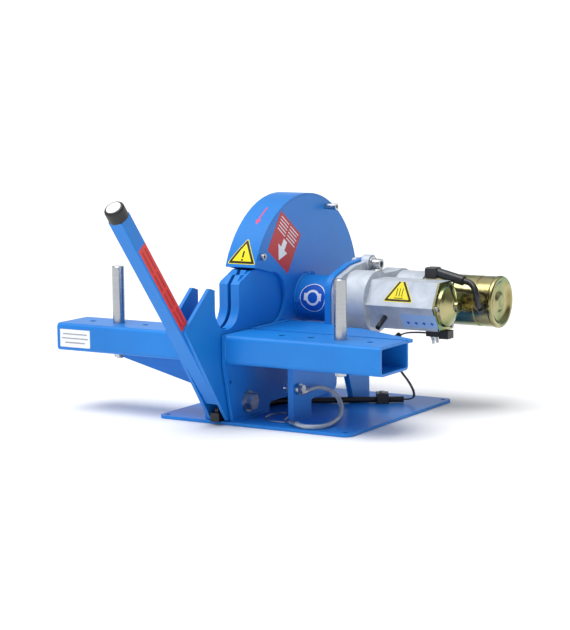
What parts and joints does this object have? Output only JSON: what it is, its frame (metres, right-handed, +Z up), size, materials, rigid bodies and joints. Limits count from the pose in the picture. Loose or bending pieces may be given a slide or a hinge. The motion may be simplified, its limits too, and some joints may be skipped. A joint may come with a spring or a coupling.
{
  "type": "bench hose cut-off saw",
  "caption": "Bench hose cutter: hand lever and cradle press a hose into a guarded circular knife, driven by a starter motor, on a narrow steel table and base plate.",
  "frame": {"origin": "centre of the base plate's four bolt holes, on its underside", "axes": "+X along the work table towards the starter motor, +Y from the operator to the back, +Z up"},
  "size_m": [0.64, 0.6784, 0.3681],
  "materials": {
    "blue_paint": "gloss",
    "bright_steel": "satin",
    "zinc_steel": "satin",
    "cast_aluminium": "rough",
    "gold_zinc": "satin",
    "black_rubber": "matte",
    "black_plastic": "satin",
    "clear_pvc": "gloss",
    "copper_coil": "satin",
    "dark_magnet": "matte"
  },
  "bodies": {
    "frame": {"base_plate": "blue_paint", "column_plate_right": "blue_paint", "column_plate_left": "blue_paint", "column_rear_tie": "blue_paint", "beam_left": "blue_paint", "beam_right": "blue_paint", "table_gusset": "blue_paint", "beam_rib": "blue_paint", "motor_bracket": "blue_paint", "bearing_tube": "blue_paint", "bearing_tube_screws": "blue_paint", "guard_shell": "blue_paint", "guide_pins": "bright_steel", "spindle_bearings": "bright_steel", "idler_pin": "bright_steel", "tether_ring": "bright_steel", "guard_bolts": "zinc_steel", "guard_tie_spacers": "zinc_steel", "guide_pin_nuts": "zinc_steel", "pivot_bolt": "zinc_steel", "pivot_nut_washers": "zinc_steel", "flange_bolts": "zinc_steel", "solenoid_cover_screws": "zinc_steel", "terminal_nuts": "zinc_steel", "drain_tube": "zinc_steel", "tether_bolt": "zinc_steel", "tether_eye": "zinc_steel", "tether_ferrule": "zinc_steel", "conduit_clamp_screw": "zinc_steel", "drive_end_housing": "cast_aluminium", "solenoid_cover": "gold_zinc", "motor_yoke": "gold_zinc", "motor_end_cap": "gold_zinc", "terminal_boot": "black_rubber", "lead_grommet": "black_rubber", "motor_lead": "black_rubber", "terminal_block": "black_plastic", "conduit": "black_plastic", "conduit_clamp": "black_plastic", "switch_body": "black_plastic", "brush_holder": "black_plastic", "control_wires": "black_plastic", "tether_cable": "clear_pvc", "solenoid_coil": "copper_coil", "field_magnets": "dark_magnet"},
    "lever": {"cradle_plate_left": "blue_paint", "cradle_plate_right": "blue_paint", "guide_blocks": "blue_paint", "lever_tube": "blue_paint", "lever_cap": "black_plastic", "pivot_bush": "bright_steel"},
    "spindle": {"spindle": "bright_steel", "blade": "bright_steel", "blade_flanges": "bright_steel", "blade_nut": "bright_steel", "drive_gear": "bright_steel"},
    "armature": {"armature": "bright_steel"},
    "idler": {"idler_gear": "bright_steel"},
    "switch_button": {"switch_button": "black_plastic"},
    "plunger": {"solenoid_plunger": "bright_steel"}
  },
  "joints": [
    {"name": "lever_pivot", "type": "hinge", "parent": "frame", "child": "lever", "pos_m": [-0.061, -0.127, 0.0315], "axis": [-1, 0, 0], "range_deg": [0, 42]},
    {"name": "spindle_spin", "type": "hinge", "parent": "frame", "child": "spindle", "pos_m": [-0.061, 0.058, 0.176], "axis": [1, 0, 0], "continuous": true},
    {"name": "armature_spin", "type": "hinge", "parent": "frame", "child": "armature", "pos_m": [0.2, 0.144, 0.176], "axis": [1, 0, 0], "continuous": true},
    {"name": "idler_spin", "type": "hinge", "parent": "frame", "child": "idler", "pos_m": [0.082, 0.112, 0.176], "axis": [1, 0, 0], "continuous": true},
    {"name": "switch_press", "type": "slide", "parent": "frame", "child": "switch_button", "axis": [0, 0, -1], "range_m": [0, 0.003], "stiffness_N_per_m": 600, "springref_m": -0.002},
    {"name": "plunger_pull", "type": "slide", "parent": "frame", "child": "plunger", "axis": [-1, 0, 0], "range_m": [0, 0.01], "stiffness_N_per_m": 1500, "springref_m": -0.004}
  ],
  "couplings": [
    {"joint": "armature_spin", "follows": "spindle_spin", "ratio": 2.5714},
    {"joint": "idler_spin", "follows": "spindle_spin", "ratio": -2}
  ]
}
